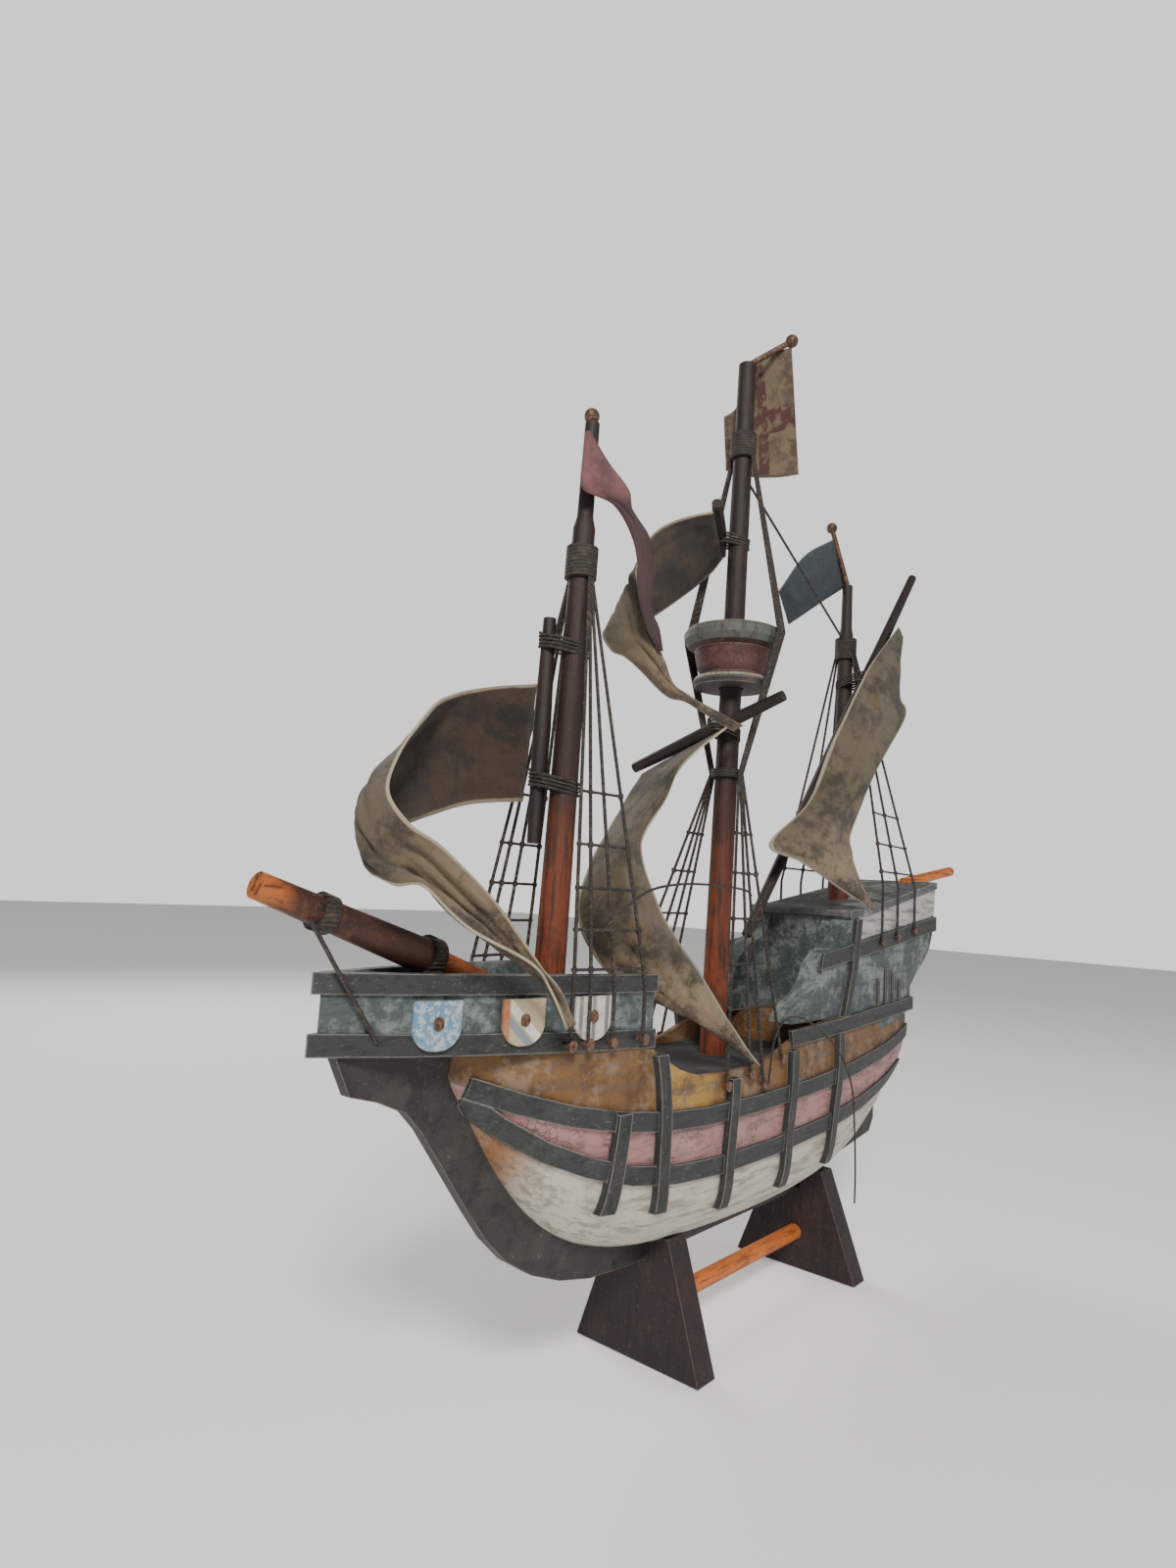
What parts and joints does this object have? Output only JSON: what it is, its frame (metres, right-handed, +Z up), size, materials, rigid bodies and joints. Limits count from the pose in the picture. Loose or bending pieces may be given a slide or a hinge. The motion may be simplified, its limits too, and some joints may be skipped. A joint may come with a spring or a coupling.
{
  "type": "model sailing ship",
  "caption": "Wooden model galleon with raised castles, three masts, cloth sails, thread rigging and flags, resting on a two-board cradle.",
  "frame": {"origin": "middle of the front cradle board's foot, on the floor", "axes": "+Z up, +X from bow to stern, -Y to the port side"},
  "size_m": [0.55, 0.0927, 0.489],
  "materials": {
    "board": "dark stained boards with raw scratches",
    "orange_wood": "orange stained pine, worn",
    "keel_wood": "dark grey-brown, scratched",
    "hull_paint": "hand-painted bands, aged and scratched",
    "castle_paint": "grey-green paint, streaked",
    "deck_wood": "dull dark grey wash",
    "trim": "black-brown stain, worn on its edges",
    "spar": "red-brown stain, nearly black aloft",
    "sail_cloth": "stiffened cloth, olive-brown, streaked",
    "flag_cloth": "faded cloth",
    "thread": "dark waxed thread",
    "bronze": "dull bronze-painted beads",
    "tack": "dull copper-brown nail heads",
    "shield_paint": "cream paint with coloured bars",
    "pale_paint": "peeling off-white paint"
  },
  "bodies": {
    "stand": {"stand_board_front": "board", "stand_board_rear": "board", "stand_dowel": "orange_wood"},
    "fore_spar": {"fore_yard": "spar", "fore_sail": "sail_cloth"},
    "main_spar": {"main_yard": "spar", "main_sail": "sail_cloth", "topsail_yard": "spar", "topsail": "sail_cloth"},
    "mizzen_spar": {"mizzen_yard": "spar", "mizzen_sail": "sail_cloth"},
    "ship": {"keel_and_stem": "keel_wood", "hull_block": "hull_paint", "waist_deck": "deck_wood", "waist_bulwark_port": "hull_paint", "waist_bulwark_starboard": "hull_paint", "upper_wale_port": "trim", "upper_wale_starboard": "trim", "lower_wale_port": "trim", "lower_wale_starboard": "trim", "riders": "trim", "forecastle_deck": "deck_wood", "forecastle_wall": "castle_paint", "forecastle_bottom_rail": "trim", "forecastle_top_rail": "trim", "shields": "shield_paint", "sterncastle_side_port": "castle_paint", "sterncastle_side_starboard": "castle_paint", "quarter_lower_strips": "pale_paint", "quarter_upper_strips": "trim", "quarter_straps": "trim", "quarter_windows": "trim", "cabin_bulkhead": "castle_paint", "transom_board": "castle_paint", "poop_deck": "deck_wood", "fore_mast": "spar", "main_mast": "spar", "mizzen_mast": "spar", "bowsprit": "spar", "boomkin": "orange_wood", "crows_nest": "castle_paint", "lashings": "thread", "flag_finials": "bronze", "fore_shrouds": "thread", "main_shrouds": "thread", "mizzen_shrouds": "thread", "stays": "thread", "rail_nails": "tack", "fore_flag": "flag_cloth", "main_flag": "flag_cloth", "mizzen_flag": "flag_cloth", "hanging_thread": "thread"}
  },
  "joints": [
    {"name": "ship_lift", "type": "slide", "parent": "stand", "child": "ship", "axis": [0, 0, 1], "range_m": [0, 0.06]},
    {"name": "fore_yard_swing", "type": "hinge", "parent": "ship", "child": "fore_spar", "pos_m": [-0.07209, 0, 0.257], "axis": [0.0243, 0, 0.9997], "range_deg": [-1, 1]},
    {"name": "main_yard_swing", "type": "hinge", "parent": "ship", "child": "main_spar", "pos_m": [0.04734, 0, 0.275], "axis": [0.0184, 0, 0.9998], "range_deg": [-1, 2]},
    {"name": "mizzen_yard_swing", "type": "hinge", "parent": "ship", "child": "mizzen_spar", "pos_m": [0.17869, 0, 0.333], "axis": [0.0086, 0, 1], "range_deg": [-2, 2]}
  ]
}
